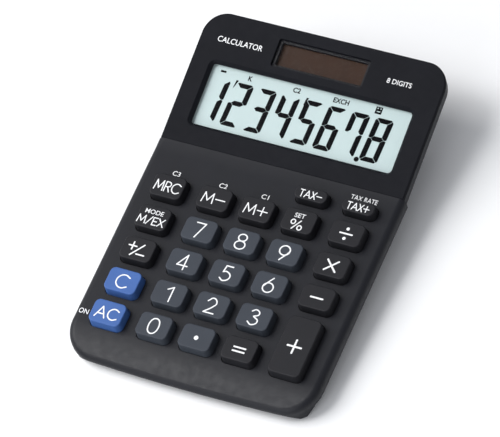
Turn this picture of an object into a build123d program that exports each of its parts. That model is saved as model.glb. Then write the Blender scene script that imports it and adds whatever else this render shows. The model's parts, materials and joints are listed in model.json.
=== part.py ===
from build123d import *
from math import asin, atan2, cos, degrees, radians, sin, tan
import os

os.makedirs("parts", exist_ok=True)

# Desk calculator, all sizes in millimetres. The origin is the middle of the footprint on the desk:
# +X to the user's right, +Y away from the user, +Z up.

# Whole body
body_width = 103.7
body_depth = 147.9
display_width = 102.0
keyboard_tilt = 4.5
display_tilt = 14.1
front_height = 9.29
front_corner_radius = 13.0
front_bow_radius = 1000.0
rear_corner_radius = 9.5
foot_height = 0.8

# Upper case
deck_thickness = 1.6
side_wall = 1.6
skirt_height = 4.6
roll_length = 14.0
roll_drop = 2.9
ceiling_start = 11.0
sweep_length = 4.0
panel_start = 1.35
panel_thickness = 1.2
edge_radius = 2.7

# Lower case
tub_wall = 1.6
tub_inset = 0.6
side_slope = 38.0
lip_height = 1.2
lip_thickness = 1.0
lip_gap = 0.1

# Keyboard, measured along the deck from the centre of key 5
five_from_front = 46.0
bend_from_five = 47.8
column_pitch = 17.7
outer_column_pitch = 19.55
row_pitch = 14.1
tax_row = 2.83
key_rise = 3.85
key_travel = 1.2
key_draft = 5.0
key_top_width = 12.95
key_top_length = 9.55
plus_top_length = 24.1
tax_top_length = 5.3
key_corner = 2.0
key_edge_radius = 0.45
key_wall = 1.2
flange_width = 0.75
flange_thickness = 0.8
hole_gap = 0.15

# Contact dome, sheet and circuit board
dome_gap = 0.1
dome_height = 2.2
dome_base_radius = 3.7
dome_top_radius = 2.4
sheet_thickness = 0.6
pill_radius = 1.5
pill_thickness = 0.3
contact_clearance = 0.1
board_thickness = 1.0
board_half_width = 46.0
board_front = -35.5
board_rear = 46.6

# Display and solar cell, measured up the display slope from the bend
lcd_view_width = 84.0
lcd_view_length = 25.3
lcd_view_bottom = 10.0
lcd_view_corner = 1.6
recess_width = 1.2
solar_view_width = 37.8
solar_view_length = 10.9
solar_view_bottom = 39.7

# Feet and screws
foot_radius = 4.0
foot_recess = 0.5
front_foot_place = (40.0, -53.5)
rear_foot_place = (28.0, 40.5)
front_screw_place = (38.0, -67.0)
rear_screw_place = (35.0, 62.1)
front_shelf_top = 4.0
rear_shelf_top = 19.0
shelf_thickness = 1.6

foot_names = ["foot_front_left", "foot_front_right", "foot_rear_left", "foot_rear_right"]
foot_places = [(side * x, y) for x, y in (front_foot_place, rear_foot_place) for side in (-1, 1)]

# Battery, label, wires and small thicknesses
battery_place = (-24.0, 35.5)
battery_radius = 5.8
battery_thickness = 5.4
label_place = (0, 3.5)
wire_radius = 0.45
wire_bend = 1.5
solder_row = 36.0
ribbon_thickness = 0.15
panel_inset = 0.15
panel_edge_radius = 0.5
post_radius = 2.2

front_y = -body_depth / 2
rear_y = body_depth / 2
bend_run = five_from_front + bend_from_five
bend_y = front_y + bend_run * cos(radians(keyboard_tilt))
bend_z = front_height + bend_run * sin(radians(keyboard_tilt))


def deck_point(along, height):
    """Point in the Y-Z plane, along the deck from the front edge and above its surface."""
    tilt = radians(keyboard_tilt)
    return (
        front_y + along * cos(tilt) - height * sin(tilt),
        front_height + along * sin(tilt) + height * cos(tilt),
    )


def display_point(along, height):
    """Point in the Y-Z plane, up the display slope from the bend and above its surface."""
    tilt = radians(display_tilt)
    return (
        bend_y + along * cos(tilt) - height * sin(tilt),
        bend_z + along * sin(tilt) + height * cos(tilt),
    )


def bend_point(height):
    """Where the deck's and the display's surfaces meet after both are moved by a height."""
    middle = radians((keyboard_tilt + display_tilt) / 2)
    reach = height / cos(radians((display_tilt - keyboard_tilt) / 2))
    return (bend_y - reach * sin(middle), bend_z + reach * cos(middle))


def display_height_at(y, height):
    """World height of the display slope, moved by a height, over a given Y."""
    tilt = radians(display_tilt)
    return bend_z + (y - bend_y) * tan(tilt) + height / cos(tilt)


def deck_height_at(y, height):
    """World height of the deck, moved by a height, over a given Y."""
    tilt = radians(keyboard_tilt)
    return front_height + (y - front_y) * tan(tilt) + height / cos(tilt)


five_y, five_z = deck_point(five_from_front, 0)
deck = Plane(
    origin=(0, five_y, five_z),
    x_dir=(1, 0, 0),
    z_dir=(0, -sin(radians(keyboard_tilt)), cos(radians(keyboard_tilt))),
)
display = Plane(
    origin=(0, bend_y, bend_z),
    x_dir=(1, 0, 0),
    z_dir=(0, -sin(radians(display_tilt)), cos(radians(display_tilt))),
)

# Heights below the deck's surface
flange_top = -deck_thickness - 0.05
key_bottom = flange_top - flange_thickness
dome_top = key_bottom - dome_gap
sheet_top = dome_top - dome_height
board_top = sheet_top - sheet_thickness
board_bottom = board_top - board_thickness
pill_bottom = board_top + key_travel + contact_clearance
pill_top = pill_bottom + pill_thickness

# Heights below the display's surface
seat_top = -panel_thickness
seat_bottom = seat_top - deck_thickness
window_bottom = seat_top - 1.0
polarizer_top = seat_bottom - 0.05
cell_top = polarizer_top - 0.2
cell_bottom = cell_top - 2.0
reflector_bottom = cell_bottom - 0.25
holder_bottom = reflector_bottom - 0.8
solar_top = seat_bottom - 0.05
solar_bottom = solar_top - 1.1
lcd_middle = lcd_view_bottom + lcd_view_length / 2
solar_middle = solar_view_bottom + solar_view_length / 2
cell_middle = lcd_middle - 1.6
cell_width = 90.0
cell_length = 32.6

# Every key: name, column -2 to 2, rows above key 5, length of its top
standard = key_top_length
key_layout = [
    ("key_tax_minus", 1, tax_row, tax_top_length),
    ("key_tax_plus", 2, tax_row, tax_top_length),
    ("key_memory_recall", -2, 2, standard),
    ("key_memory_minus", -1, 2, standard),
    ("key_memory_plus", 0, 2, standard),
    ("key_percent", 1, 2, standard),
    ("key_divide", 2, 2, standard),
    ("key_mode_exchange", -2, 1, standard),
    ("key_7", -1, 1, standard),
    ("key_8", 0, 1, standard),
    ("key_9", 1, 1, standard),
    ("key_multiply", 2, 1, standard),
    ("key_sign_change", -2, 0, standard),
    ("key_4", -1, 0, standard),
    ("key_5", 0, 0, standard),
    ("key_6", 1, 0, standard),
    ("key_minus", 2, 0, standard),
    ("key_clear", -2, -1, standard),
    ("key_1", -1, -1, standard),
    ("key_2", 0, -1, standard),
    ("key_3", 1, -1, standard),
    ("key_plus", 2, -1.5, plus_top_length),
    ("key_all_clear", -2, -2, standard),
    ("key_0", -1, -2, standard),
    ("key_decimal", 0, -2, standard),
    ("key_equals", 1, -2, standard),
]


def column_x(column):
    """Sideways place of a column, the outer two standing a little further out."""
    if abs(column) < 2:
        return column * column_pitch
    return (column_pitch + outer_column_pitch) * column / 2


key_places = [(column_x(column), row * row_pitch) for name, column, row, length in key_layout]
draft_per_height = tan(radians(key_draft))
key_spread = 2 * (key_rise - flange_top) * draft_per_height


def key_size(length):
    """Width and length of a key where it meets its flange."""
    return (key_top_width + key_spread, length + key_spread)


def finish(builder, label):
    """Name a finished piece and write its file."""
    builder.part.label = label
    export_step(builder.part, f"parts/{label}.step")


def rounded(plane, width, length, radius, centres=((0, 0),)):
    """Flat rounded rectangles on a plane."""
    with BuildSketch(plane) as outline:
        with Locations(*centres):
            RectangleRounded(width, length, radius)
    return outline.sketch


def post(places, radius, bottom, top):
    """Upright round posts at several places."""
    with BuildSketch(Plane.XY.offset(bottom)) as outline:
        with Locations(*places):
            Circle(radius)
    return extrude(outline.sketch, amount=top - bottom, mode=Mode.PRIVATE)


def plan(inset):
    """Outline of the whole body seen from above, shrunk by an inset, with a slightly bowed front."""
    half = body_width / 2 - inset
    display_half = display_width / 2 - inset
    step = display_point(panel_start, 0)[0]
    front_radius = front_corner_radius - inset
    rear_radius = rear_corner_radius - inset
    bow_radius = front_bow_radius - inset
    bow_x = (half - front_radius) / (1 - front_radius / bow_radius)
    bow_angle = degrees(asin(bow_x / bow_radius))
    with BuildSketch() as outline:
        with BuildLine():
            bow = JernArc((0, front_y + inset), (1, 0), bow_radius, bow_angle)
            corner = JernArc(bow @ 1, bow % 1, front_radius, 90 - bow_angle)
            Line(corner @ 1, (half, step))
            Line((half, step), (display_half, step))
            Line((display_half, step), (display_half, rear_y - inset - rear_radius))
            JernArc((display_half, rear_y - inset - rear_radius), (0, 1), rear_radius, 90)
            Line((display_half - rear_radius, rear_y - inset), (0, rear_y - inset))
            mirror(about=Plane.YZ)
        make_face()
    return outline.sketch


def tub_section(y, parting, wall):
    """Cross-section of the tapering tub at one Y, moved inwards by a wall thickness."""
    slope = tan(radians(side_slope))
    top_half = body_width / 2 - tub_inset + 0.1
    floor = foot_height + wall
    side = wall / cos(radians(side_slope))
    bottom_half = top_half - slope * (parting - floor) - side
    top = parting + 20
    with BuildSketch(Plane(origin=(0, y, 0), x_dir=(1, 0, 0), z_dir=(0, -1, 0))) as section:
        with BuildLine():
            Polyline(
                (-bottom_half, floor),
                (bottom_half, floor),
                (top_half - side, parting),
                (top_half - side, top),
                (side - top_half, top),
                (side - top_half, parting),
                (-bottom_half, floor),
            )
        make_face()
    return section.sketch


def slanted_block(top_points):
    """Full-width block of the side profile drawn through Y-Z points."""
    with BuildSketch(Plane.YZ) as profile:
        with BuildLine():
            Polyline(*top_points, close=True)
        make_face()
    return extrude(profile.sketch, amount=body_width, both=True, mode=Mode.PRIVATE)


# ---- upper case -------------------------------------------------------------------------------
roll_start = deck_point(roll_length, 0)
roll_end = (front_y, front_height - roll_drop)
sweep_start = deck_point(bend_run - sweep_length, 0)
sweep_end = display_point(panel_start, 0)
skirt_front = (front_y, front_height - skirt_height)
skirt_bend = bend_point(-skirt_height)
skirt_rear = (rear_y, display_height_at(rear_y, -skirt_height))
step_y = sweep_end[0]
skirt_step = (step_y, display_height_at(step_y, -skirt_height))

with BuildSketch(Plane.YZ) as keyboard_profile:
    with BuildLine():
        Line(skirt_front, roll_end)
        TangentArc(
            roll_start,
            roll_end,
            tangent=(-cos(radians(keyboard_tilt)), -sin(radians(keyboard_tilt))),
        )
        Line(roll_start, sweep_start)
        TangentArc(
            sweep_start,
            sweep_end,
            tangent=(cos(radians(keyboard_tilt)), sin(radians(keyboard_tilt))),
        )
        Polyline(sweep_end, skirt_step, skirt_bend, skirt_front)
    make_face()

display_block_points = [
    (step_y, display_height_at(step_y, seat_top)),
    (rear_y, display_height_at(rear_y, seat_top)),
    skirt_rear,
    skirt_step,
]
display_block = slanted_block(display_block_points) & extrude(plan(0), amount=60)

inner_front = front_y + side_wall
cavity_points = [
    (inner_front, skirt_front[1] - 5),
    (inner_front, roll_end[1] - 0.5),
    deck_point(ceiling_start, -deck_thickness),
    deck_point(bend_run - 1.2, -deck_thickness),
    display_point(panel_start + 1.0, seat_bottom),
    (rear_y - side_wall, display_height_at(rear_y - side_wall, seat_bottom)),
    (rear_y - side_wall, skirt_rear[1] - 15),
    (bend_y, skirt_bend[1] - 15),
]
case_cavity = slanted_block(cavity_points) & extrude(plan(side_wall), amount=60)

hole_sizes = {
    length: rounded(
        deck.offset(-4),
        key_size(length)[0] + 2 * hole_gap,
        key_size(length)[1] + 2 * hole_gap,
        key_corner + 0.6,
        [place for place, key in zip(key_places, key_layout) if key[3] == length],
    )
    for length in (standard, plus_top_length, tax_top_length)
}

board_screw_places = [(x, y) for x in (-27.5, 27.5) for y in (-21.0, 0.0, 21.0)]
case_screw_places = [(side * front_screw_place[0], front_screw_place[1]) for side in (-1, 1)]
rear_screw_places = [(side * rear_screw_place[0], rear_screw_place[1]) for side in (-1, 1)]
body_outline = plan(0).wires()[0]


def is_rim(edge):
    """True for the outer top edge of the keyboard part, round its front corners and along its sides."""
    middle = edge @ 0.5
    on_outline = body_outline.distance_to(Vector(middle.X, middle.Y, 0)) < 0.01
    above = middle.Z > deck_height_at(middle.Y, 0) - roll_drop - 0.3
    upright = abs((edge % 0.5).Z) > 0.9
    return on_outline and above and not upright and middle.Y < step_y - 0.1


with BuildPart() as upper_case:
    extrude(keyboard_profile.sketch, amount=body_width, both=True)
    extrude(plan(0), amount=60, mode=Mode.INTERSECT)
    fillet([edge for edge in upper_case.edges() if is_rim(edge)], radius=edge_radius)
    add(display_block)
    case_outside = upper_case.part
    add(case_cavity, mode=Mode.SUBTRACT)
    for sketch in hole_sizes.values():
        extrude(sketch, amount=8, mode=Mode.SUBTRACT)
    # windows in the display seat: a shallow pocket for each clear plate and the opening itself
    extrude(
        rounded(display.offset(seat_top), 88.0, 29.2, 1.0, [(0, lcd_middle)]),
        amount=-1.0,
        mode=Mode.SUBTRACT,
    )
    extrude(
        rounded(display.offset(seat_top), lcd_view_width + 0.6, lcd_view_length + 0.6, 0.6, [(0, lcd_middle)]),
        amount=-4.0,
        mode=Mode.SUBTRACT,
    )
    extrude(
        rounded(display.offset(seat_top), 36.0, 9.2, 0.5, [(0, solar_middle)]),
        amount=-4.0,
        mode=Mode.SUBTRACT,
    )
    # bosses that take the circuit board's screws
    with BuildSketch(deck.offset(board_top)) as board_bosses:
        with Locations(*board_screw_places):
            Circle(1.8)
    extrude(amount=-board_top - deck_thickness + 0.4)
    with BuildSketch(deck.offset(board_top)) as board_pilots:
        with Locations(*board_screw_places):
            Circle(0.75)
    extrude(amount=3.0, mode=Mode.SUBTRACT)
    # bosses that take the case screws
    add(post(case_screw_places, 3.0, front_shelf_top, front_height) & case_outside)
    add(post(case_screw_places, 1.15, front_shelf_top, front_shelf_top + 2.8), mode=Mode.SUBTRACT)
    add(post(rear_screw_places, 3.0, rear_shelf_top, rear_shelf_top + 12) & case_outside)
    add(post(rear_screw_places, 1.15, rear_shelf_top, rear_shelf_top + 4.6), mode=Mode.SUBTRACT)
    # ribs on either side of the solar cell
    extrude(
        rounded(display.offset(seat_bottom + 0.2), 0.8, 12.0, 0.3, [(-22.0, solar_middle), (22.0, solar_middle)]),
        amount=-2.4,
    )

finish(upper_case, "upper_case")

# ---- display panel and the clear plates ----------------------------------------------------------
panel_front = step_y + 0.1
panel_points = [
    (panel_front, display_height_at(panel_front, seat_top)),
    (panel_front, display_height_at(panel_front, 0)),
    (rear_y, display_height_at(rear_y, 0)),
    (rear_y, display_height_at(rear_y, seat_top)),
]
panel_block = slanted_block(panel_points) & extrude(plan(panel_inset), amount=60)

with BuildPart() as display_panel:
    add(panel_block)
    top_face = display_panel.faces().filter_by(lambda face: face.normal_at().dot(display.z_dir) > 0.999)[0]
    fillet(top_face.outer_wire().edges(), radius=panel_edge_radius)
    extrude(
        rounded(display.offset(seat_top), lcd_view_width, lcd_view_length, lcd_view_corner, [(0, lcd_middle)]),
        amount=panel_thickness,
        taper=-degrees(atan2(recess_width, panel_thickness)),
        mode=Mode.SUBTRACT,
    )
    extrude(
        rounded(display.offset(seat_top), solar_view_width, solar_view_length, 0.6, [(0, solar_middle)]),
        amount=panel_thickness,
        taper=-15,
        mode=Mode.SUBTRACT,
    )
finish(display_panel, "display_panel")

with BuildPart() as display_window:
    extrude(rounded(display.offset(window_bottom), 87.8, 29.0, 0.9, [(0, lcd_middle)]), amount=1.0)
finish(display_window, "display_window")

with BuildPart() as solar_window:
    extrude(
        rounded(display.offset(seat_top), solar_view_width - 0.2, solar_view_length - 0.2, 0.5, [(0, solar_middle)]),
        amount=0.7,
    )
finish(solar_window, "solar_window")

# ---- liquid crystal display ----------------------------------------------------------------------
with BuildPart() as lcd_front_polarizer:
    extrude(rounded(display.offset(cell_top), 87.0, 27.6, 0.3, [(0, lcd_middle)]), amount=0.2)
finish(lcd_front_polarizer, "lcd_front_polarizer")

with BuildPart() as lcd_cell:
    # rear glass with its contact ledge, then the shorter front glass
    extrude(rounded(display.offset(cell_bottom), cell_width, cell_length, 0.2, [(0, cell_middle)]), amount=1.0)
    extrude(
        rounded(display.offset(cell_bottom + 1.0), cell_width, cell_length - 3.2, 0.2, [(0, cell_middle + 1.6)]),
        amount=1.0,
    )
finish(lcd_cell, "lcd_cell")

with BuildPart() as lcd_reflector:
    extrude(rounded(display.offset(reflector_bottom), 87.0, 27.6, 0.3, [(0, lcd_middle)]), amount=0.25)
finish(lcd_reflector, "lcd_reflector")

with BuildPart() as lcd_holder:
    extrude(
        rounded(display.offset(holder_bottom), 94.0, 35.3, 1.0, [(0, lcd_middle - 1.95)]),
        amount=seat_bottom - holder_bottom,
    )
    extrude(
        rounded(display.offset(cell_bottom), cell_width + 0.2, cell_length + 0.2, 0.2, [(0, cell_middle)]),
        amount=5.0,
        mode=Mode.SUBTRACT,
    )
    extrude(
        rounded(display.offset(holder_bottom), 87.4, 28.0, 0.4, [(0, lcd_middle)]),
        amount=5.0,
        mode=Mode.SUBTRACT,
    )
    # opening for the ribbon through the lower side
    with BuildSketch(display.offset(holder_bottom)) as ribbon_slot:
        with Locations((0, lcd_middle - 17.0)):
            Rectangle(66.0, 8.0)
    extrude(amount=5.0, mode=Mode.SUBTRACT)
finish(lcd_holder, "lcd_holder")

ribbon_points = [
    display_point(lcd_middle - 14.6, cell_bottom),
    display_point(lcd_middle - 17.9, cell_bottom),
    deck_point(bend_run - 0.6, board_bottom),
    deck_point(bend_run - 4.2, board_bottom),
    deck_point(bend_run - 4.2, board_bottom - ribbon_thickness),
    deck_point(bend_run - 0.6, board_bottom - ribbon_thickness),
    display_point(lcd_middle - 17.9, cell_bottom - ribbon_thickness),
    display_point(lcd_middle - 14.6, cell_bottom - ribbon_thickness),
]
with BuildPart() as heat_seal_ribbon:
    with BuildSketch(Plane.YZ) as ribbon_edge:
        with BuildLine():
            Polyline(*ribbon_points, close=True)
        make_face()
    extrude(amount=30.0, both=True)
finish(heat_seal_ribbon, "heat_seal_ribbon")

# ---- solar cell ----------------------------------------------------------------------------------
with BuildPart() as solar_cell:
    extrude(rounded(display.offset(solar_bottom), 42.0, 12.6, 0.3, [(0, solar_middle)]), amount=1.1)
finish(solar_cell, "solar_cell")

with BuildPart() as solar_pad:
    extrude(rounded(display.offset(solar_bottom), 22.0, 10.0, 1.0, [(0, solar_middle)]), amount=-2.0)
finish(solar_pad, "solar_pad")

# ---- circuit board and what sits on it -----------------------------------------------------------
board_length = board_rear - board_front
board_middle = (board_rear + board_front) / 2

with BuildPart() as main_board:
    extrude(
        rounded(deck.offset(board_bottom), 2 * board_half_width, board_length, 1.0, [(0, board_middle)]),
        amount=board_thickness,
    )
    with BuildSketch(deck.offset(board_bottom)) as board_holes:
        with Locations(*board_screw_places):
            Circle(0.85)
    extrude(amount=board_thickness, mode=Mode.SUBTRACT)
finish(main_board, "main_board")

with BuildPart() as chip_blob:
    with BuildSketch(deck.offset(board_bottom)) as blob_outline:
        with Locations((8.0, 12.0)):
            Circle(7.0)
    extrude(amount=-1.2)
    fillet(chip_blob.faces().sort_by(Axis.Z)[0].edges(), radius=1.0)
finish(chip_blob, "chip_blob")

with BuildPart() as board_components:
    with BuildSketch(deck.offset(board_bottom)) as chip_parts:
        with Locations((-12, 20), (-8, 20), (-4, 20), (-12, 14), (24, 18), (24, 13)):
            Rectangle(2.0, 1.25)
    extrude(amount=-0.6)
    with BuildSketch(deck.offset(board_bottom)) as can_capacitor:
        with Locations((-20, 12)):
            Circle(2.0)
    extrude(amount=-2.2)
finish(board_components, "board_components")

with BuildPart() as board_screws:
    with BuildSketch(deck.offset(board_bottom)) as screw_heads:
        with Locations(*board_screw_places):
            Circle(1.5)
    extrude(amount=-0.9)
    with BuildSketch(deck.offset(board_bottom)) as screw_shanks:
        with Locations(*board_screw_places):
            Circle(0.7)
    extrude(amount=board_thickness + 2.6)
    with BuildSketch(deck.offset(board_bottom - 0.9)) as screw_crosses:
        with Locations(*board_screw_places):
            Rectangle(1.8, 0.4)
            Rectangle(0.4, 1.8)
    extrude(amount=0.5, mode=Mode.SUBTRACT)
finish(board_screws, "board_screws")

# ---- silicone key mat and its contact pills ------------------------------------------------------
with BuildPart() as key_mat:
    extrude(
        rounded(
            deck.offset(board_top),
            2 * board_half_width - 2.0,
            board_length - 0.4,
            1.5,
            [(0, board_middle + 0.2)],
        ),
        amount=sheet_thickness,
    )
    with Locations(deck.offset(sheet_top)):
        with Locations(*key_places):
            Cone(dome_base_radius, dome_top_radius, dome_height, align=(Align.CENTER, Align.CENTER, Align.MIN))
    with Locations(deck.offset(board_top)):
        with Locations(*key_places):
            Cone(
                dome_base_radius - 0.5,
                dome_top_radius - 0.5,
                pill_top - board_top,
                align=(Align.CENTER, Align.CENTER, Align.MIN),
                mode=Mode.SUBTRACT,
            )
    with BuildSketch(deck.offset(board_top)) as mat_holes:
        with Locations(*board_screw_places):
            Circle(2.1)
    extrude(amount=sheet_thickness, mode=Mode.SUBTRACT)
finish(key_mat, "key_mat")

with BuildPart() as carbon_pills:
    with BuildSketch(deck.offset(pill_bottom)) as pill_outlines:
        with Locations(*key_places):
            Circle(pill_radius)
    extrude(amount=pill_thickness)
finish(carbon_pills, "carbon_pills")

# ---- keys ----------------------------------------------------------------------------------------
for (name, column, row, length), place in zip(key_layout, key_places):
    width_at_flange, length_at_flange = key_size(length)
    with BuildPart() as key:
        extrude(
            rounded(deck.offset(flange_top), width_at_flange, length_at_flange, key_corner + 0.6, [place]),
            amount=key_rise - flange_top,
            taper=key_draft,
        )
        top_face = key.faces().sort_by(Axis.Z)[-1]
        fillet(top_face.edges(), radius=key_edge_radius)
        extrude(
            rounded(
                deck.offset(key_bottom),
                width_at_flange + 2 * flange_width,
                length_at_flange + 2 * flange_width,
                1.2,
                [place],
            ),
            amount=flange_thickness,
        )
        # hollow underside with a cross rib and the post that pushes the dome
        extrude(
            rounded(
                deck.offset(key_bottom),
                width_at_flange - 2 * key_wall,
                length_at_flange - 2 * key_wall,
                1.2,
                [place],
            ),
            amount=key_rise - key_wall - key_bottom,
            taper=key_draft,
            mode=Mode.SUBTRACT,
        )
        with BuildSketch(deck.offset(key_bottom + 0.9)) as cross_rib:
            with Locations(place):
                Rectangle(width_at_flange - 2 * key_wall + 0.4, 1.0)
                Rectangle(1.0, length_at_flange - 2 * key_wall + 0.4)
        extrude(amount=key_rise - key_wall - key_bottom - 0.8)
        with BuildSketch(deck.offset(key_bottom)) as push_post:
            with Locations(place):
                Circle(post_radius)
        extrude(amount=key_rise - key_wall - key_bottom + 0.1)
    finish(key, name)

# ---- lower case ----------------------------------------------------------------------------------
slope_run = tan(radians(side_slope))


def tub_profile(wall, raise_top):
    """Side profile of the tub in Y-Z, moved inwards by a wall thickness."""
    side = wall / cos(radians(side_slope))
    floor = foot_height + wall
    front_top = front_y + tub_inset + side
    rear_top = rear_y - tub_inset - side
    front_z = deck_height_at(front_top, -skirt_height)
    rear_z = display_height_at(rear_top, -skirt_height)
    rear_floor_y = rear_top - slope_run * (rear_z - floor)
    front_floor_y = front_top + slope_run * (front_z - floor)
    return [
        (front_top, front_z),
        (front_floor_y, floor),
        (rear_floor_y, floor),
        (rear_top, rear_z),
        (rear_top, rear_z + raise_top),
        (skirt_bend[0], skirt_bend[1] + raise_top),
        (front_top, front_z + raise_top),
    ]


def tub_solid(wall, raise_top):
    """Tapering tub, moved inwards by a wall thickness and carried on upwards if asked."""
    partings = [
        (front_y - 1, deck_height_at(front_y - 1, -skirt_height)),
        skirt_bend,
        (rear_y + 1, display_height_at(rear_y + 1, -skirt_height)),
    ]
    tapered = loft([tub_section(y, z, wall) for y, z in partings], ruled=True)
    profile = tub_profile(wall, raise_top)
    points = [point for n, point in enumerate(profile) if point not in profile[:n]]
    return tapered & slanted_block(points) & extrude(plan(tub_inset + wall), amount=60)


tub_outside = tub_solid(0, 0)
tub_inside = tub_solid(tub_wall, 8)

lip_points = [
    (front_y, skirt_front[1] - 0.8),
    (skirt_bend[0], skirt_bend[1] - 0.8),
    (rear_y, skirt_rear[1] - 0.8),
    (rear_y, skirt_rear[1] + lip_height),
    (skirt_bend[0], skirt_bend[1] + lip_height),
    (front_y, skirt_front[1] + lip_height),
]
lip_outer = side_wall + lip_gap
lip_ring = extrude(plan(lip_outer), amount=60) - extrude(plan(lip_outer + lip_thickness), amount=60)
lip = slanted_block(lip_points) & lip_ring
screw_tower_places = case_screw_places + rear_screw_places
towers = post(case_screw_places, 3.4, 0, front_shelf_top) + post(rear_screw_places, 4.0, 0, rear_shelf_top)
tower_shapes = towers & tub_outside
battery_ring = post([battery_place], battery_radius + 1.6, 2.0, 7.5)
battery_ring -= post([battery_place], battery_radius + 0.3, 2.0, 7.5)

with BuildPart() as lower_case:
    add(tub_outside)
    add(tub_inside, mode=Mode.SUBTRACT)
    add(lip)
    add(tower_shapes)
    add(battery_ring)
    add(post(case_screw_places, 2.5, 0, front_shelf_top - shelf_thickness), mode=Mode.SUBTRACT)
    add(post(rear_screw_places, 2.5, 0, rear_shelf_top - shelf_thickness), mode=Mode.SUBTRACT)
    add(post(screw_tower_places, 1.2, 0, rear_shelf_top), mode=Mode.SUBTRACT)
    add(post(foot_places, foot_radius + 0.05, 0, foot_height + foot_recess), mode=Mode.SUBTRACT)
    # shallow bed for the rating label and a slot for the lower battery strip
    with BuildSketch(Plane.XY) as label_bed:
        with Locations(label_place):
            RectangleRounded(36.2, 18.2, 1.1)
    extrude(amount=foot_height + 0.15, mode=Mode.SUBTRACT)
    with BuildSketch(Plane.XY.offset(foot_height + tub_wall)) as strip_slot:
        with Locations((battery_place[0] - 3.0, battery_place[1] - battery_radius)):
            Rectangle(4.4, 6.0)
    extrude(amount=0.6, mode=Mode.SUBTRACT)
finish(lower_case, "lower_case")

with BuildPart() as case_screws:
    add(post(case_screw_places, 2.2, front_shelf_top - shelf_thickness - 1.3, front_shelf_top - shelf_thickness))
    add(post(case_screw_places, 1.05, front_shelf_top - shelf_thickness, front_shelf_top + 2.6))
    add(post(rear_screw_places, 2.2, rear_shelf_top - shelf_thickness - 1.3, rear_shelf_top - shelf_thickness))
    add(post(rear_screw_places, 1.05, rear_shelf_top - shelf_thickness, rear_shelf_top + 4.2))
    for places, shelf in ((case_screw_places, front_shelf_top), (rear_screw_places, rear_shelf_top)):
        with BuildSketch(Plane.XY.offset(shelf - shelf_thickness - 1.3)) as cross_recess:
            with Locations(*places):
                Rectangle(2.6, 0.6)
                Rectangle(0.6, 2.6)
        extrude(amount=0.8, mode=Mode.SUBTRACT)
finish(case_screws, "case_screws")

for name, place in zip(foot_names, foot_places):
    with BuildPart() as foot:
        add(post([place], foot_radius, 0, foot_height + foot_recess))
        fillet(foot.faces().sort_by(Axis.Z)[0].edges(), radius=0.3)
    finish(foot, name)

with BuildPart() as rating_label:
    with BuildSketch(Plane.XY.offset(foot_height + 0.05)) as label_outline:
        with Locations(label_place):
            RectangleRounded(36.0, 18.0, 1.0)
    extrude(amount=0.1)
finish(rating_label, "rating_label")

# ---- battery and wires ---------------------------------------------------------------------------
tub_floor = foot_height + tub_wall
strip_thickness = 0.3
battery_bottom = tub_floor + strip_thickness
battery_top = battery_bottom + battery_thickness
strip_front = battery_place[1] - battery_radius - 3.2
strip_align = (Align.CENTER, Align.MIN, Align.MIN)

with BuildPart() as battery:
    add(post([battery_place], battery_radius, battery_bottom + 0.8, battery_top))
    fillet(battery.faces().sort_by(Axis.Z)[-1].edges(), radius=0.3)
    add(post([battery_place], battery_radius - 1.2, battery_bottom, battery_bottom + 1.0))
finish(battery, "battery")

with BuildPart() as battery_contact_minus:
    with Locations((battery_place[0] - 3.0, strip_front, tub_floor)):
        Box(4.0, 12.0, strip_thickness, align=strip_align)
        Box(4.0, strip_thickness, 2.6, align=strip_align)
finish(battery_contact_minus, "battery_contact_minus")

with BuildPart() as battery_contact_plus:
    with Locations((battery_place[0] + 3.0, strip_front, battery_top)):
        Box(4.0, 12.0, strip_thickness, align=strip_align)
    with Locations((battery_place[0] + 3.0, strip_front, tub_floor)):
        Box(4.0, strip_thickness, battery_top - tub_floor + strip_thickness, align=strip_align)
finish(battery_contact_plus, "battery_contact_plus")


def wire(x, points):
    """Round insulated wire at one X, through points in Y-Z with rounded bends."""
    with BuildLine(Plane.YZ.offset(x)) as path:
        FilletPolyline(*points, radius=wire_bend)
    begin = path.line @ 0
    with BuildSketch(Plane(origin=begin, z_dir=path.line % 0)) as end:
        Circle(wire_radius)
    return sweep(end.sketch, path=path.line, mode=Mode.PRIVATE)


solder_run = five_from_front + solder_row
solder_point = deck_point(solder_run, board_bottom)


def below_solder(z):
    """Point straight down the board's normal from the solder row, at a given world height."""
    drop = (solder_point[1] - z) / cos(radians(keyboard_tilt))
    return deck_point(solder_run, board_bottom - drop)


with BuildPart() as battery_leads:
    for x, z in ((battery_place[0] - 3.0, tub_floor + 1.8), (battery_place[0] + 3.0, tub_floor + 2.2)):
        add(wire(x, [(strip_front, z), below_solder(z), solder_point]))
finish(battery_leads, "battery_leads")

with BuildPart() as solar_leads:
    for x in (-14.0, 14.0):
        points = [
            display_point(solar_middle, solar_bottom),
            display_point(solar_middle, -8.2),
            display_point(3.0, -8.6),
            below_solder(solder_point[1] - 2.4),
            solder_point,
        ]
        add(wire(x, points))
finish(solar_leads, "solar_leads")
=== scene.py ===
import json
from math import radians, tan

import bmesh
import bpy
from mathutils import Matrix, Quaternion, Vector
from mathutils.bvhtree import BVHTree


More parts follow.
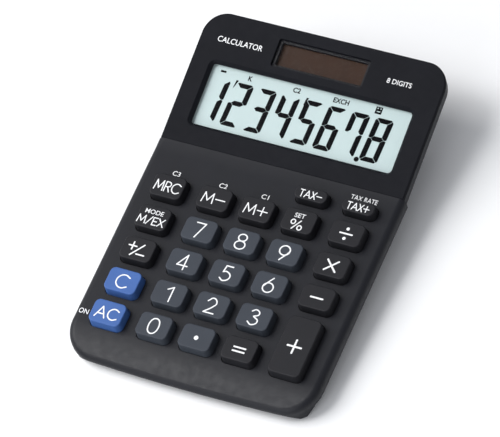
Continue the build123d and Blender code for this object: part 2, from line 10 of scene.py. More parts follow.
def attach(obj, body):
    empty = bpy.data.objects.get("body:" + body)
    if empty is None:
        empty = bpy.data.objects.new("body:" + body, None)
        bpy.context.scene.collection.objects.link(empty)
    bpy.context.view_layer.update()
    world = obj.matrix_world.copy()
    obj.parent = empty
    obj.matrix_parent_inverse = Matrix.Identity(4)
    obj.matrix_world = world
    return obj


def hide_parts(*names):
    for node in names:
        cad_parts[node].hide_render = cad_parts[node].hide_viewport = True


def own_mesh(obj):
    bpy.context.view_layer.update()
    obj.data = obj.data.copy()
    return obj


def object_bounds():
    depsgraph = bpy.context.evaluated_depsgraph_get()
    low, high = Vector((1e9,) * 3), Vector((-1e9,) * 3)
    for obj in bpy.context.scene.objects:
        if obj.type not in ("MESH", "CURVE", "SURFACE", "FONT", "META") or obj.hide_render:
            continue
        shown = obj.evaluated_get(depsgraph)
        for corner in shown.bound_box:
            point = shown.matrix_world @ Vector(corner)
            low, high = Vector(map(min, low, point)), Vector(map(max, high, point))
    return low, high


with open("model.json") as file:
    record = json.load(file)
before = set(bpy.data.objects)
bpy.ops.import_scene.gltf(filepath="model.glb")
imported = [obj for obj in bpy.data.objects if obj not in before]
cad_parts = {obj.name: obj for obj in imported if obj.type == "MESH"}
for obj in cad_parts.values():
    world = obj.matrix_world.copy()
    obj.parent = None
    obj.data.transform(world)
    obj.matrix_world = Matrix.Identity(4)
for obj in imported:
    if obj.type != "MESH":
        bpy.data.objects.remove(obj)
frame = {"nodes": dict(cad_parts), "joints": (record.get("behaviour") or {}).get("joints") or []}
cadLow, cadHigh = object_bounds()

mm = 0.001
mostlyUp = 0.9  # how upright a normal or an edge must be to count as upright
right = Vector((1, 0, 0))
nodes = frame["nodes"]
pressAxis = {joint["child"]: Vector(joint["axis"]).normalized() for joint in frame["joints"]}
jointOf = {joint["child"]: joint["name"] for joint in frame["joints"]}
keyNames = sorted(jointOf)
deckUp = -pressAxis["key_5"]
deckBack = deckUp.cross(right)
print("frame loaded:", len(nodes), "nodes,", len(keyNames), "keys")


# places on the frame

def reach(node, axis):  # nearest and furthest point of a node along an axis
    along = [vertex.co.dot(axis) for vertex in nodes[node].data.vertices]
    return min(along), max(along)


def middle(node, axis):
    low, high = reach(node, axis)
    return (low + high) / 2


def plateNormal(node):  # upward direction of a flat plate
    total = Vector((0, 0, 0))
    for face in nodes[node].data.polygons:
        if face.normal.z > mostlyUp:
            total += face.normal * face.area
    return total.normalized()


def placeAt(acrossX, alongBack, alongUp, back, up):  # frame whose XY plane lies on a surface
    origin = right * acrossX + back * alongBack + up * alongUp
    turn = Matrix((right, back, up)).transposed().to_4x4()
    return Matrix.Translation(origin) @ turn


displayUp = plateNormal("solar_window")
displayBack = displayUp.cross(right)
panelTop = reach("display_panel", displayUp)[1]
caseTree = BVHTree.FromPolygons(
    [vertex.co for vertex in nodes["upper_case"].data.vertices],
    [face.vertices for face in nodes["upper_case"].data.polygons],
)


rayHeight = 30


def onCase(point):  # the case's surface straight below a point, along the deck's normal
    hit = caseTree.ray_cast(point + deckUp * rayHeight * mm, -deckUp)[0]
    return hit if hit else point


fiveX, fiveBack = middle("key_5", right), middle("key_5", deckBack)
besideFive = (fiveX + middle("key_4", right)) / 2
deckHeight = onCase(placeAt(besideFive, fiveBack, 0, deckBack, deckUp).translation).dot(deckUp)
solarBack = middle("solar_window", displayBack)
lcdBack = middle("display_window", displayBack)
polarizerTop = reach("lcd_front_polarizer", displayUp)[1]


# materials

def newMaterial(name):
    material = bpy.data.materials.new(name)
    material.use_nodes = True
    tree = material.node_tree
    return material, tree, tree.nodes["Principled BSDF"]


def objectNoise(tree, scale, detail=2.0, stretch=(1, 1, 1)):
    coord = tree.nodes.new("ShaderNodeTexCoord")
    mapping = tree.nodes.new("ShaderNodeMapping")
    mapping.inputs["Scale"].default_value = stretch
    noise = tree.nodes.new("ShaderNodeTexNoise")
    noise.inputs["Scale"].default_value = scale
    noise.inputs["Detail"].default_value = detail
    tree.links.new(coord.outputs["Object"], mapping.inputs["Vector"])
    tree.links.new(mapping.outputs["Vector"], noise.inputs["Vector"])
    return noise


def shade(colour, factor):
    return tuple(min(1.0, channel * factor) for channel in colour[:3]) + (1.0,)


def mottle(tree, shader, colour, spread, scale):  # slow drift of the colour over the surface
    noise = objectNoise(tree, scale, 3.0)
    ramp = tree.nodes.new("ShaderNodeValToRGB")
    ramp.color_ramp.elements[0].position = 0.3
    ramp.color_ramp.elements[1].position = 0.7
    ramp.color_ramp.elements[0].color = shade(colour, 1 - spread)
    ramp.color_ramp.elements[1].color = shade(colour, 1 + spread)
    tree.links.new(noise.outputs["Fac"], ramp.inputs["Fac"])
    tree.links.new(ramp.outputs["Color"], shader.inputs["Base Color"])
    return ramp


def varyRoughness(tree, shader, low, high, scale):
    noise = objectNoise(tree, scale, 3.0)
    span = tree.nodes.new("ShaderNodeMapRange")
    span.inputs["From Min"].default_value = 0.3
    span.inputs["From Max"].default_value = 0.7
    span.inputs["To Min"].default_value = low
    span.inputs["To Max"].default_value = high
    tree.links.new(noise.outputs["Fac"], span.inputs["Value"])
    tree.links.new(span.outputs["Result"], shader.inputs["Roughness"])


def grain(tree, shader, scale, depth, strength=1.0, detail=2.0, stretch=(1, 1, 1)):
    noise = objectNoise(tree, scale, detail, stretch)
    bump = tree.nodes.new("ShaderNodeBump")
    bump.inputs["Strength"].default_value = strength
    bump.inputs["Distance"].default_value = depth
    tree.links.new(noise.outputs["Fac"], bump.inputs["Height"])
    tree.links.new(bump.outputs["Normal"], shader.inputs["Normal"])
    return bump


def moulded(name, colour, roughness, spread=0.06, grainSize=0.28, grainDepth=0.02, specular=0.5):
    material, tree, shader = newMaterial(name)
    mottle(tree, shader, colour, spread, scale=90)
    varyRoughness(tree, shader, roughness - 0.05, roughness + 0.05, scale=400)
    grain(tree, shader, 1 / (grainSize * mm), grainDepth * mm)
    shader.inputs["Specular IOR Level"].default_value = specular
    return material


def metal(name, colour, roughness, grainSize=0.12, stretch=(1, 12, 1)):
    material, tree, shader = newMaterial(name)
    mottle(tree, shader, colour, spread=0.08, scale=300)
    varyRoughness(tree, shader, roughness - 0.08, roughness + 0.08, scale=900)
    grain(tree, shader, 1 / (grainSize * mm), depth=0.01 * mm, strength=0.5, stretch=stretch)
    shader.inputs["Metallic"].default_value = 1.0
    return material


def clearPlastic(name, tint, alpha, roughness):
    material, tree, shader = newMaterial(name)
    mottle(tree, shader, tint, spread=0.03, scale=60)
    varyRoughness(tree, shader, roughness, roughness + 0.05, scale=250)
    grain(tree, shader, scale=900, depth=0.004 * mm, strength=0.3)
    shader.inputs["Alpha"].default_value = alpha
    shader.inputs["Specular IOR Level"].default_value = 0.12
    return material


finishes = {
    "case_black": moulded("caseBlack", (0.0105, 0.0112, 0.0150), 0.44, 0.06, 0.30, 0.018, 0.24),
    "panel_black": moulded("panelBlack", (0.0085, 0.0090, 0.0120), 0.60, 0.08, 0.24, 0.030, 0.08),
    "key_black": moulded("keyBlack", (0.0150, 0.0152, 0.0182), 0.50, 0.05, 0.20, 0.014, 0.18),
    "key_slate": moulded("keySlate", (0.0440, 0.0510, 0.0640), 0.50, 0.05, 0.20, 0.014, 0.18),
    "key_blue": moulded("keyBlue", (0.052, 0.126, 0.363), 0.46, 0.05, 0.20, 0.014, 0.25),
    "holder_plastic": moulded("holderPlastic", (0.55, 0.56, 0.55), 0.55, 0.04, 0.35, 0.02),
    "foam": moulded("foamGrey", (0.10, 0.10, 0.105), 0.92, 0.20, 0.45, 0.12),
    "wire_insulation": moulded("wireRed", (0.42, 0.03, 0.025), 0.38, 0.06, 0.25, 0.008),
    "epoxy_black": moulded("epoxyBlack", (0.012, 0.012, 0.012), 0.22, 0.15, 1.4, 0.05),
    "component_ceramic": moulded("componentCeramic", (0.42, 0.30, 0.20), 0.45, 0.10, 0.30, 0.01),
    "silicone": moulded("siliconeMat", (0.50, 0.52, 0.53), 0.62, 0.05, 0.30, 0.02),
    "carbon_rubber": moulded("carbonRubber", (0.020, 0.020, 0.020), 0.70, 0.12, 0.18, 0.02),
    "foot_rubber": moulded("footRubber", (0.022, 0.022, 0.022), 0.82, 0.12, 0.35, 0.05),
    "label_film": moulded("labelFilm", (0.55, 0.56, 0.57), 0.40, 0.04, 0.50, 0.006),
    "battery_steel": metal("batterySteel", (0.62, 0.62, 0.60), 0.28),
    "contact_metal": metal("contactMetal", (0.72, 0.66, 0.52), 0.32),
    "screw_steel": metal("screwSteel", (0.45, 0.45, 0.46), 0.36, 0.10, (1, 1, 6)),
    "clear_window": clearPlastic("clearWindow", (0.020, 0.022, 0.024), 0.06, 0.10),
    "reflector_film": metal("reflectorFilm", (0.80, 0.81, 0.80), 0.45, 0.15, (1, 1, 1)),
}


def polarizerFilm(pale=(0.60, 0.735, 0.735)):  # the pale ground that the segments show against
    material, tree, shader = newMaterial("polarizerFilm")
    mottle(tree, shader, pale, spread=0.015, scale=30)
    varyRoughness(tree, shader, low=0.34, high=0.44, scale=600)
    grain(tree, shader, scale=6000, depth=0.004 * mm, strength=0.6)
    shader.inputs["Specular IOR Level"].default_value = 0.3
    return material


def displayGlass(tint=(0.30, 0.36, 0.35)):
    material, tree, shader = newMaterial("displayGlass")
    mottle(tree, shader, tint, spread=0.05, scale=120)
    varyRoughness(tree, shader, low=0.05, high=0.10, scale=500)
    grain(tree, shader, scale=2000, depth=0.002 * mm, strength=0.3)
    shader.inputs["Transmission Weight"].default_value = 0.6
    shader.inputs["IOR"].default_value = 1.52
    return material


def banded(tree, direction, pitch, width, factorSocket):  # thin lines at an even pitch across the piece
    coord = tree.nodes.new("ShaderNodeTexCoord")
    split = tree.nodes.new("ShaderNodeSeparateXYZ")
    scaled = tree.nodes.new("ShaderNodeMath")
    scaled.operation = "DIVIDE"
    scaled.inputs[1].default_value = pitch
    part = tree.nodes.new("ShaderNodeMath")
    part.operation = "FRACT"
    line = tree.nodes.new("ShaderNodeMath")
    line.operation = "LESS_THAN"
    line.inputs[1].default_value = width / pitch
    tree.links.new(coord.outputs["Object"], split.inputs["Vector"])
    tree.links.new(split.outputs[direction], scaled.inputs[0])
    tree.links.new(scaled.outputs["Value"], part.inputs[0])
    tree.links.new(part.outputs["Value"], line.inputs[0])
    tree.links.new(line.outputs["Value"], factorSocket)


def striped(name, ground, stripe, direction, pitch, width, roughness, spread=0.06):
    material, tree, shader = newMaterial(name)
    ramp = mottle(tree, shader, ground, spread, scale=160)
    mix = tree.nodes.new("ShaderNodeMix")
    mix.data_type = "RGBA"
    mix.inputs["B"].default_value = stripe
    tree.links.new(ramp.outputs["Color"], mix.inputs["A"])
    tree.links.new(mix.outputs["Result"], shader.inputs["Base Color"])
    banded(tree, direction, pitch, width, mix.inputs["Factor"])
    varyRoughness(tree, shader, roughness, roughness + 0.08, scale=500)
    grain(tree, shader, scale=3500, depth=0.006 * mm, strength=0.5)
    shader.inputs["Specular IOR Level"].default_value = 0.12
    return material


finishes["polarizer_film"] = polarizerFilm()
finishes["display_glass"] = displayGlass()
finishes["solar_glass"] = striped(
    "solarGlass", (0.046, 0.022, 0.013), (0.028, 0.015, 0.010, 1), "X",
    pitch=9.45 * mm, width=0.12 * mm, roughness=0.22,
)
finishes["ribbon_film"] = striped(
    "ribbonFilm", (0.50, 0.26, 0.08), (0.06, 0.05, 0.05, 1), "X",
    pitch=1.0 * mm, width=0.45 * mm, roughness=0.30,
)


def circuitBoard(green=(0.020, 0.115, 0.045), track=(0.050, 0.200, 0.075)):
    material, tree, shader = newMaterial("circuitBoard")
    coord = tree.nodes.new("ShaderNodeTexCoord")
    bricks = tree.nodes.new("ShaderNodeTexBrick")
    bricks.inputs["Scale"].default_value = 260
    bricks.inputs["Mortar Size"].default_value = 0.05
    bricks.inputs["Color1"].default_value = shade(green, 1.0)
    bricks.inputs["Color2"].default_value = shade(green, 1.15)
    bricks.inputs["Mortar"].default_value = shade(track, 1.0)
    tree.links.new(coord.outputs["Object"], bricks.inputs["Vector"])
    tree.links.new(bricks.outputs["Color"], shader.inputs["Base Color"])
    varyRoughness(tree, shader, low=0.25, high=0.40, scale=300)
    grain(tree, shader, scale=2500, depth=0.01 * mm, strength=0.6)
    return material


finishes["circuit_board"] = circuitBoard()

printWhite = moulded("printWhite", (0.86, 0.87, 0.88), 0.55, 0.03, 0.20, 0.004)
segmentInk = moulded("segmentInk", (0.004, 0.004, 0.005), 0.75, 0.10, 0.15, 0.002, 0.02)

for node in nodes.values():
    for slot in node.material_slots:
        slot.material = finishes[slot.material.name.split(".")[0]]
print("materials:", len(finishes) + 2)


# turning curves and texts into flat printed pieces

def linkObject(name, data):
    made = bpy.data.objects.new(name, data)
    bpy.context.scene.collection.objects.link(made)
    return made


def meshFrom(name, bm):
    made = bpy.data.meshes.new(name)
    bm.to_mesh(made)
    bm.free()
    return made


def curveMesh(curve):
    holder = linkObject(curve.name + "Curve", curve)
    depsgraph = bpy.context.evaluated_depsgraph_get()
    mesh = bpy.data.meshes.new_from_object(holder.evaluated_get(depsgraph))
    bpy.data.objects.remove(holder)
    bpy.data.curves.remove(curve)
    return mesh


def spanOf(mesh, axis):
    values = [vertex.co[axis] for vertex in mesh.vertices]
    return min(values), max(values)


def centreAndFit(mesh, width, height):  # middle of the print on the origin, stretched to a size
    (left, far), (low, high) = spanOf(mesh, 0), spanOf(mesh, 1)
    mesh.transform(Matrix.Translation((-(left + far) / 2, -(low + high) / 2, 0)))
    mesh.transform(Matrix.Diagonal((width / (far - left), height / (high - low), 1, 1)))
    return mesh


def fontText(words, width, height, thickness, bold=0.0):
    text = bpy.data.curves.new("text", "FONT")
    text.body = words
    text.offset = bold
    text.extrude = 0.5
    text.resolution_u = 4
    mesh = curveMesh(text)
    centreAndFit(mesh, width, height)
    mesh.transform(Matrix.Diagonal((1, 1, thickness, 1)))
    return mesh


# strokes on a cap height of 1: a third value makes a point smooth, "loop" closes a stroke, one point is a dot
strokeShapes = {
    "0": (0.66, [["loop", (0.33, 0, 1), (0.66, 0.5, 1), (0.33, 1, 1), (0, 0.5, 1)]]),
    "1": (0.32, [[(0, 0.79), (0.32, 1), (0.32, 0)]]),
    "2": (0.64, [[(0.02, 0.76, 1), (0.31, 1, 1), (0.59, 0.73, 1), (0.46, 0.46, 1), (0, 0), (0.64, 0)]]),
    "3": (0.60, [
        [(0.04, 0.86, 1), (0.29, 1, 1), (0.54, 0.77, 1), (0.24, 0.55)],
        [(0.24, 0.55), (0.60, 0.28, 1), (0.29, 0, 1), (0, 0.15, 1)],
    ]),
    "4": (0.66, [[(0.47, 0), (0.47, 1), (0, 0.26), (0.66, 0.26)]]),
    "5": (0.61, [[
        (0.57, 1), (0.15, 1), (0.08, 0.57), (0.30, 0.63, 1), (0.61, 0.32, 1), (0.28, 0, 1), (0, 0.14, 1),
    ]]),
    "6": (0.66, [
        ["loop", (0.33, 0, 1), (0.66, 0.32, 1), (0.33, 0.64, 1), (0, 0.32, 1)],
        [(0.45, 1), (0.10, 0.50, 1), (0, 0.32, 1)],
    ]),
    "7": (0.64, [[(0, 1), (0.64, 1), (0.20, 0)]]),
    "8": (0.66, [
        ["loop", (0.33, 0.54, 1), (0.60, 0.77, 1), (0.33, 1, 1), (0.06, 0.77, 1)],
        ["loop", (0.33, 0, 1), (0.66, 0.27, 1), (0.33, 0.54, 1), (0, 0.27, 1)],
    ]),
    "9": (0.66, [
        ["loop", (0.33, 1, 1), (0, 0.68, 1), (0.33, 0.36, 1), (0.66, 0.68, 1)],
        [(0.21, 0), (0.56, 0.50, 1), (0.66, 0.68, 1)],
    ]),
    "A": (0.88, [[(0, 0), (0.44, 1), (0.88, 0)], [(0.15, 0.34), (0.73, 0.34)]]),
    "C": (0.86, [[
        (0.86, 0.85, 1), (0.5, 1, 1), (0.146, 0.854, 1), (0, 0.5, 1),
        (0.146, 0.146, 1), (0.5, 0, 1), (0.86, 0.15, 1),
    ]]),
    "E": (0.48, [[(0.48, 1), (0, 1), (0, 0), (0.48, 0)], [(0, 0.5), (0.43, 0.5)]]),
    "M": (0.92, [[(0, 0), (0.10, 1), (0.46, 0.20), (0.82, 1), (0.92, 0)]]),
    "R": (0.56, [
        [
            (0, 0), (0, 1), (0.28, 1), (0.47, 0.925, 1), (0.54, 0.745, 1), (0.47, 0.565, 1),
            (0.28, 0.49), (0, 0.49),
        ],
        [(0.27, 0.49), (0.56, 0)],
    ]),
    "T": (0.66, [[(0, 1), (0.66, 1)], [(0.33, 1), (0.33, 0)]]),
    "X": (0.66, [[(0, 1), (0.66, 0)], [(0, 0), (0.66, 1)]]),
    "/": (0.52, [[(0, -0.04), (0.52, 1.04)]]),
    "-": (0.78, [[(0, 0.5), (0.78, 0.5)]]),
    "+": (0.86, [[(0, 0.5), (0.86, 0.5)], [(0.43, 0.07), (0.43, 0.93)]]),
    "x": (1.00, [[(0, 0), (1, 1)], [(0, 1), (1, 0)]]),
    ":": (1.20, [[(0, 0.5), (1.20, 0.5)], [(0.6, 0)], [(0.6, 1)]]),
    "=": (1.00, [[(0, 0.84), (1, 0.84)], [(0, 0.16), (1, 0.16)]]),
    ".": (0.00, [[(0, 0)]]),
    "%": (1.20, [
        ["loop", (0.21, 0.52, 1), (0.41, 0.76, 1), (0.21, 1, 1), (0, 0.76, 1)],
        ["loop", (0.99, 0, 1), (1.20, 0.24, 1), (0.99, 0.48, 1), (0.79, 0.24, 1)],
        [(0.92, 1), (0.28, 0)],
    ]),
    "s": (1.34, [
        [(0, 0.71), (0.58, 0.71)], [(0.29, 0.42), (0.29, 1)],
        [(0.34, -0.02), (1.10, 0.94)], [(0.76, 0.14), (1.34, 0.14)],
    ]),
}
letterSpace = 0.19
leastSpan = 0.01  # a lone dot has no width of its own


def strokeText(words, width, height, stroke, thickness, dot=1.0):
    advance, strokes = 0.0, []
    for letter in words:
        letterWidth, shapes = strokeShapes[letter]
        for shape in shapes:
            strokes.append((advance, shape))
        advance += letterWidth + letterSpace
    total = max(advance - letterSpace, leastSpan)
    across, up = (width - stroke) / total, height - stroke
    curve = bpy.data.curves.new("stroke", "CURVE")
    curve.dimensions = "3D"
    curve.bevel_depth = stroke / 2
    curve.bevel_resolution = 2
    curve.resolution_u = 10
    curve.use_fill_caps = True
    ends, dots = [], []
    for start, shape in strokes:
        closed = shape[0] == "loop"
        points = shape[1:] if closed else shape
        placed = [Vector(((start + p[0] - total / 2) * across, (p[1] - 0.5) * up, 0)) for p in points]
        if len(placed) == 1:
            dots.append(placed[0] if total > leastSpan else Vector((0, 0, 0)))
            continue
        corners = [n for n, point in enumerate(points) if len(point) == 2 or n in (0, len(points) - 1)]
        runs = [(0, len(points) - 1)] if closed else list(zip(corners, corners[1:]))
        for first, last in runs:
            spline = curve.splines.new("BEZIER")
            spline.bezier_points.add(last - first)
            spline.use_cyclic_u = closed
            for knot, n in zip(spline.bezier_points, range(first, last + 1)):
                knot.co = placed[n]
                handle = "AUTO" if len(points[n]) > 2 else "VECTOR"
                knot.handle_left_type = knot.handle_right_type = handle
        if not closed:
            ends += [placed[n] for n in corners]
    bm = bmesh.new()
    if len(curve.splines):
        bm.from_mesh(curveMesh(curve))
    for places, radius in ((ends, stroke / 2), (dots, dot * stroke / 2)):
        for place in places:
            bmesh.ops.create_icosphere(bm, subdivisions=3, radius=radius, matrix=Matrix.Translation(place))
    bmesh.ops.scale(bm, vec=(1, 1, thickness / stroke), verts=bm.verts)
    bmesh.ops.recalc_face_normals(bm, faces=bm.faces)
    mesh = meshFrom("stroke", bm)
    for face in mesh.polygons:
        face.use_smooth = True
    return mesh


def joined(name, parts):  # several meshes, each put in its own place, as one
    bm = bmesh.new()
    for mesh, place in parts:
        mesh.transform(place)
        bm.from_mesh(mesh)
        bpy.data.meshes.remove(mesh)
    return meshFrom(name, bm)


def addPiece(name, mesh, body, material):
    mesh.materials.clear()
    mesh.materials.append(material)
    piece = linkObject(name, mesh)
    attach(piece, body)
    return piece


# legends on the keys: mark, width and height of the print, stroke, shift, small words above

keyLegends = {
    "key_tax_minus": {"mark": "TAX-", "size": (9.3, 3.3), "stroke": 0.42},
    "key_tax_plus": {"mark": "TAX+", "size": (9.3, 3.3), "stroke": 0.42},
    "key_memory_recall": {"mark": "MRC", "size": (10.8, 4.6), "stroke": 0.48},
    "key_memory_minus": {"mark": "M-", "size": (9.6, 4.6), "stroke": 0.48},
    "key_memory_plus": {"mark": "M+", "size": (9.7, 4.6), "stroke": 0.48},
    "key_percent": {
        "mark": "%", "size": (5.4, 4.4), "stroke": 0.5, "shift": (-0.3, -1.6),
        "small": "SET", "smallSize": (4.3, 1.9), "smallUp": 2.3,
    },
    "key_divide": {"mark": ":", "size": (5.5, 4.8), "stroke": 0.66, "dot": 2.0},
    "key_mode_exchange": {
        "mark": "M/EX", "size": (11.3, 3.6), "stroke": 0.46, "shift": (-0.2, -1.2),
        "small": "MODE", "smallSize": (7.6, 1.9), "smallUp": 2.5,
    },
    "key_7": {"mark": "7", "size": (4.3, 6.8)},
    "key_8": {"mark": "8", "size": (4.7, 6.9)},
    "key_9": {"mark": "9", "size": (4.7, 6.8)},
    "key_multiply": {"mark": "x", "size": (5.2, 5.1), "stroke": 0.72},
    "key_sign_change": {"mark": "s", "size": (7.95, 6.0), "stroke": 0.6, "shift": (-0.3, 0)},
    "key_4": {"mark": "4", "size": (4.8, 6.8), "shift": (-0.2, 0)},
    "key_5": {"mark": "5", "size": (4.4, 6.8)},
    "key_6": {"mark": "6", "size": (4.7, 6.8)},
    "key_minus": {"mark": "-", "size": (5.5, 1.5), "stroke": 0.74},
    "key_clear": {"mark": "C", "size": (5.4, 6.1)},
    "key_1": {"mark": "1", "size": (2.6, 6.7)},
    "key_2": {"mark": "2", "size": (4.6, 6.8)},
    "key_3": {"mark": "3", "size": (4.3, 6.9)},
    "key_plus": {"mark": "+", "size": (6.2, 7.1), "stroke": 0.78},
    "key_all_clear": {"mark": "AC", "size": (9.4, 5.1)},
    "key_0": {"mark": "0", "size": (4.7, 6.9)},
    "key_decimal": {"mark": ".", "size": (1.8, 1.8), "stroke": 1.8},
    "key_equals": {"mark": "=", "size": (5.3, 3.1), "stroke": 0.7},
}
ink = 0.04 * mm
usualStroke = 0.56
printBold = 0.005
legendBack = -0.3  # the prints sit a little towards the user


def keyMiddle(keyName, height):  # frame on a key's own axis, at a height along the deck's normal
    return placeAt(middle(keyName, right), middle(keyName, deckBack), height, deckBack, deckUp)


for keyName in keyNames:
    legend = keyLegends[keyName]
    width, height = legend["size"]
    stroke = legend.get("stroke", usualStroke)
    shiftX, shiftBack = legend.get("shift", (0, 0))
    top = keyMiddle(keyName, reach(keyName, deckUp)[1])
    mark = strokeText(legend["mark"], width * mm, height * mm, stroke * mm, ink, legend.get("dot", 1.0))
    parts = [(mark, top @ Matrix.Translation((shiftX * mm, (shiftBack + legendBack) * mm, 0)))]
    if "small" in legend:
        smallWidth, smallHeight = legend["smallSize"]
        small = fontText(legend["small"], smallWidth * mm, smallHeight * mm, ink, printBold)
        smallBack = legend["smallUp"] + legendBack
        parts.append((small, top @ Matrix.Translation((shiftX * mm, smallBack * mm, 0))))
    addPiece("legend_" + keyName[4:], joined("legend", parts), keyName, printWhite)
print("key legends:", len(keyNames))

# rubber mat: a sheet with a hole under every dome, domes, plungers and pills

mat = {
    "domeBase": 3.7, "domeTop": 2.4, "domeWall": 0.5, "cap": 0.4, "plunger": 1.7, "plungerInset": 0.1,
    "sheet": 0.6, "corner": 1.5, "hole": 3.25, "screwHole": 2.1, "cutMargin": 1.0, "steps": 36, "keep": 0.48,
    "pill": 1.5, "pillEdge": 0.1, "screwsAcross": (-27.5, 27.5), "screwsBack": (-21.0, 0.0, 21.0),
}
sheetBottom = reach("main_board", deckUp)[1]
domeTop = reach("key_mat", deckUp)[1]
sheetTop = sheetBottom + mat["sheet"] * mm
pillBottom, pillTop = reach("carbon_pills", deckUp)


def turned(profile, place):  # closed round piece spun from radius and height pairs
    bm = bmesh.new()
    knots = [bm.verts.new((radius * mm, 0, height)) for radius, height in profile]
    edges = [bm.edges.new(pair) for pair in zip(knots, knots[1:])]
    bmesh.ops.spin(
        bm, geom=knots + edges, cent=(0, 0, 0), axis=(0, 0, 1), angle=radians(360),
        steps=mat["steps"], use_merge=True,
    )
    bmesh.ops.remove_doubles(bm, verts=bm.verts, dist=0.001 * mm)
    bmesh.ops.recalc_face_normals(bm, faces=bm.faces)
    bm.transform(place)
    return meshFrom("turned", bm)


def rod(radius, low, high, place):
    return turned([(0, low), (radius, low), (radius, high), (0, high)], place)


def blockFrom(lows, highs, place):  # block with rounded upright corners
    bm = bmesh.new()
    bmesh.ops.create_cube(bm, size=1)
    bmesh.ops.scale(bm, vec=[high - low for low, high in zip(lows, highs)], verts=bm.verts)
    bmesh.ops.translate(bm, vec=[(low + high) / 2 for low, high in zip(lows, highs)], verts=bm.verts)
    upright = [e for e in bm.edges if abs((e.verts[0].co - e.verts[1].co).normalized().z) > mostlyUp]
    bmesh.ops.bevel(
        bm, geom=upright, offset=mat["corner"] * mm, offset_type="OFFSET", segments=5, profile=0.5,
        affect="EDGES", material=-1,
    )
    bm.transform(place)
    return meshFrom("block", bm)


matAcross, matAlong = reach("key_mat", right), reach("key_mat", deckBack)
deckFrame = placeAt(0, 0, 0, deckBack, deckUp)
sheet = blockFrom((matAcross[0], matAlong[0], sheetBottom), (matAcross[1], matAlong[1], sheetTop), deckFrame)
cutLow, cutHigh = sheetBottom - mat["cutMargin"] * mm, sheetTop + mat["cutMargin"] * mm
still = Matrix.Identity(4)
holes = [(rod(mat["hole"], cutLow, cutHigh, keyMiddle(keyName, 0)), still) for keyName in keyNames]
for x in mat["screwsAcross"]:
    for y in mat["screwsBack"]:
        screwAxis = placeAt(x * mm, fiveBack + y * mm, 0, deckBack, deckUp)
        holes.append((rod(mat["screwHole"], cutLow, cutHigh, screwAxis), still))
cutter = linkObject("cutter", joined("cutter", holes))
blank = linkObject("blank", sheet)
cut = blank.modifiers.new("cut", "BOOLEAN")
cut.operation = "DIFFERENCE"
cut.solver = "EXACT"
cut.object = cutter
sheetMesh = bpy.data.meshes.new_from_object(blank.evaluated_get(bpy.context.evaluated_depsgraph_get()))
bpy.data.objects.remove(blank)
bpy.data.objects.remove(cutter)
sheetPiece = addPiece("mat_sheet", sheetMesh, "case", finishes["silicone"])
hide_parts("key_mat")

base, top, wall = mat["domeBase"], mat["domeTop"], mat["domeWall"]
capLow = domeTop - mat["cap"] * mm
domeShape = [
    (base, sheetTop), (top, domeTop), (0, domeTop), (0, capLow), (top - wall, capLow), (base - wall, sheetTop),
    (base, sheetTop),
]
plungerTop = domeTop - mat["plungerInset"] * mm
pillRadius, pillEdge = mat["pill"], mat["pillEdge"]
pillShape = [
    (0, pillBottom), (pillRadius - pillEdge, pillBottom), (pillRadius, pillBottom + pillEdge * mm),
    (pillRadius, pillTop), (0, pillTop),
]
silicone, carbon = finishes["silicone"], finishes["carbon_rubber"]
for keyName in keyNames:
    shortName, axis = keyName[4:], keyMiddle(keyName, 0)
    dome = addPiece("dome_" + shortName, turned(domeShape, axis), "case", silicone)
    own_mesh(dome)
    plunger = rod(mat["plunger"], pillTop, plungerTop, axis)
    addPiece("plunger_" + shortName, plunger, keyName, silicone)
    pill = addPiece("pill_" + shortName, turned(pillShape, axis), keyName, carbon)
    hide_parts("carbon_pills")
print("rubber mat: domes", len(keyNames))

# printed words: text, width, height, across, back from key 5 or the solar cell

deckWords = [
    ("C3", 3.2, 2.0, -38.0, 35.85), ("C2", 3.3, 2.0, -18.2, 35.85), ("C1", 3.0, 2.0, -0.6, 35.85),
    ("TAX RATE", 10.9, 2.0, 36.6, 45.1), ("ON", 4.0, 2.1, -48.25, -28.45),
]
panelWords = [("CALCULATOR", 19.0, 2.3, -33.95, -0.17), ("8 DIGITS", 10.2, 2.0, 33.0, -0.25)]


def draped(mesh, place):  # lays a flat print onto the case's curved surface
    mesh.transform(place)
    for vertex in mesh.vertices:
        above = (vertex.co - place.translation).dot(deckUp)
        vertex.co = onCase(vertex.co) + deckUp * (above + ink / 2)
    return mesh


parts = []
for words, width, height, across, back in deckWords:
    place = placeAt(across * mm, fiveBack + back * mm, deckHeight, deckBack, deckUp)
    parts.append((draped(fontText(words, width * mm, height * mm, ink, printBold), place), still))
addPiece("case_legends", joined("caseLegends", parts), "case", printWhite)

parts = []
for words, width, height, across, back in panelWords:
    place = placeAt(across * mm, solarBack + back * mm, panelTop, displayBack, displayUp)
    parts.append((fontText(words, width * mm, height * mm, ink, printBold), place))
addPiece("panel_legends", joined("panelLegends", parts), "case", printWhite)

# words on the label underneath: text, width, height, back from the label's middle
worldUp, worldBack = Vector((0, 0, 1)), Vector((0, 1, 0))
labelBold = 0.004
labelWords = [
    ("DESK CALCULATOR", 25.0, 2.3, 4.6), ("SOLAR CELL AND BATTERY", 27.0, 1.8, 0.2),
    ("1.5 V BUTTON CELL", 19.0, 1.8, -4.4),
]
turnedOver = Matrix((-right, worldBack, -worldUp)).transposed().to_4x4()
labelLow = reach("rating_label", worldUp)[0]
labelMiddle = Vector((middle("rating_label", right), middle("rating_label", worldBack), labelLow))
parts = []
for words, width, height, back in labelWords:
    place = Matrix.Translation(labelMiddle + worldBack * back * mm) @ turnedOver
    parts.append((fontText(words, width * mm, height * mm, ink, labelBold), place))
addPiece("label_print", joined("labelPrint", parts), "case", segmentInk)

# liquid crystal display: eight slanted digits, the marks between them and the signs above

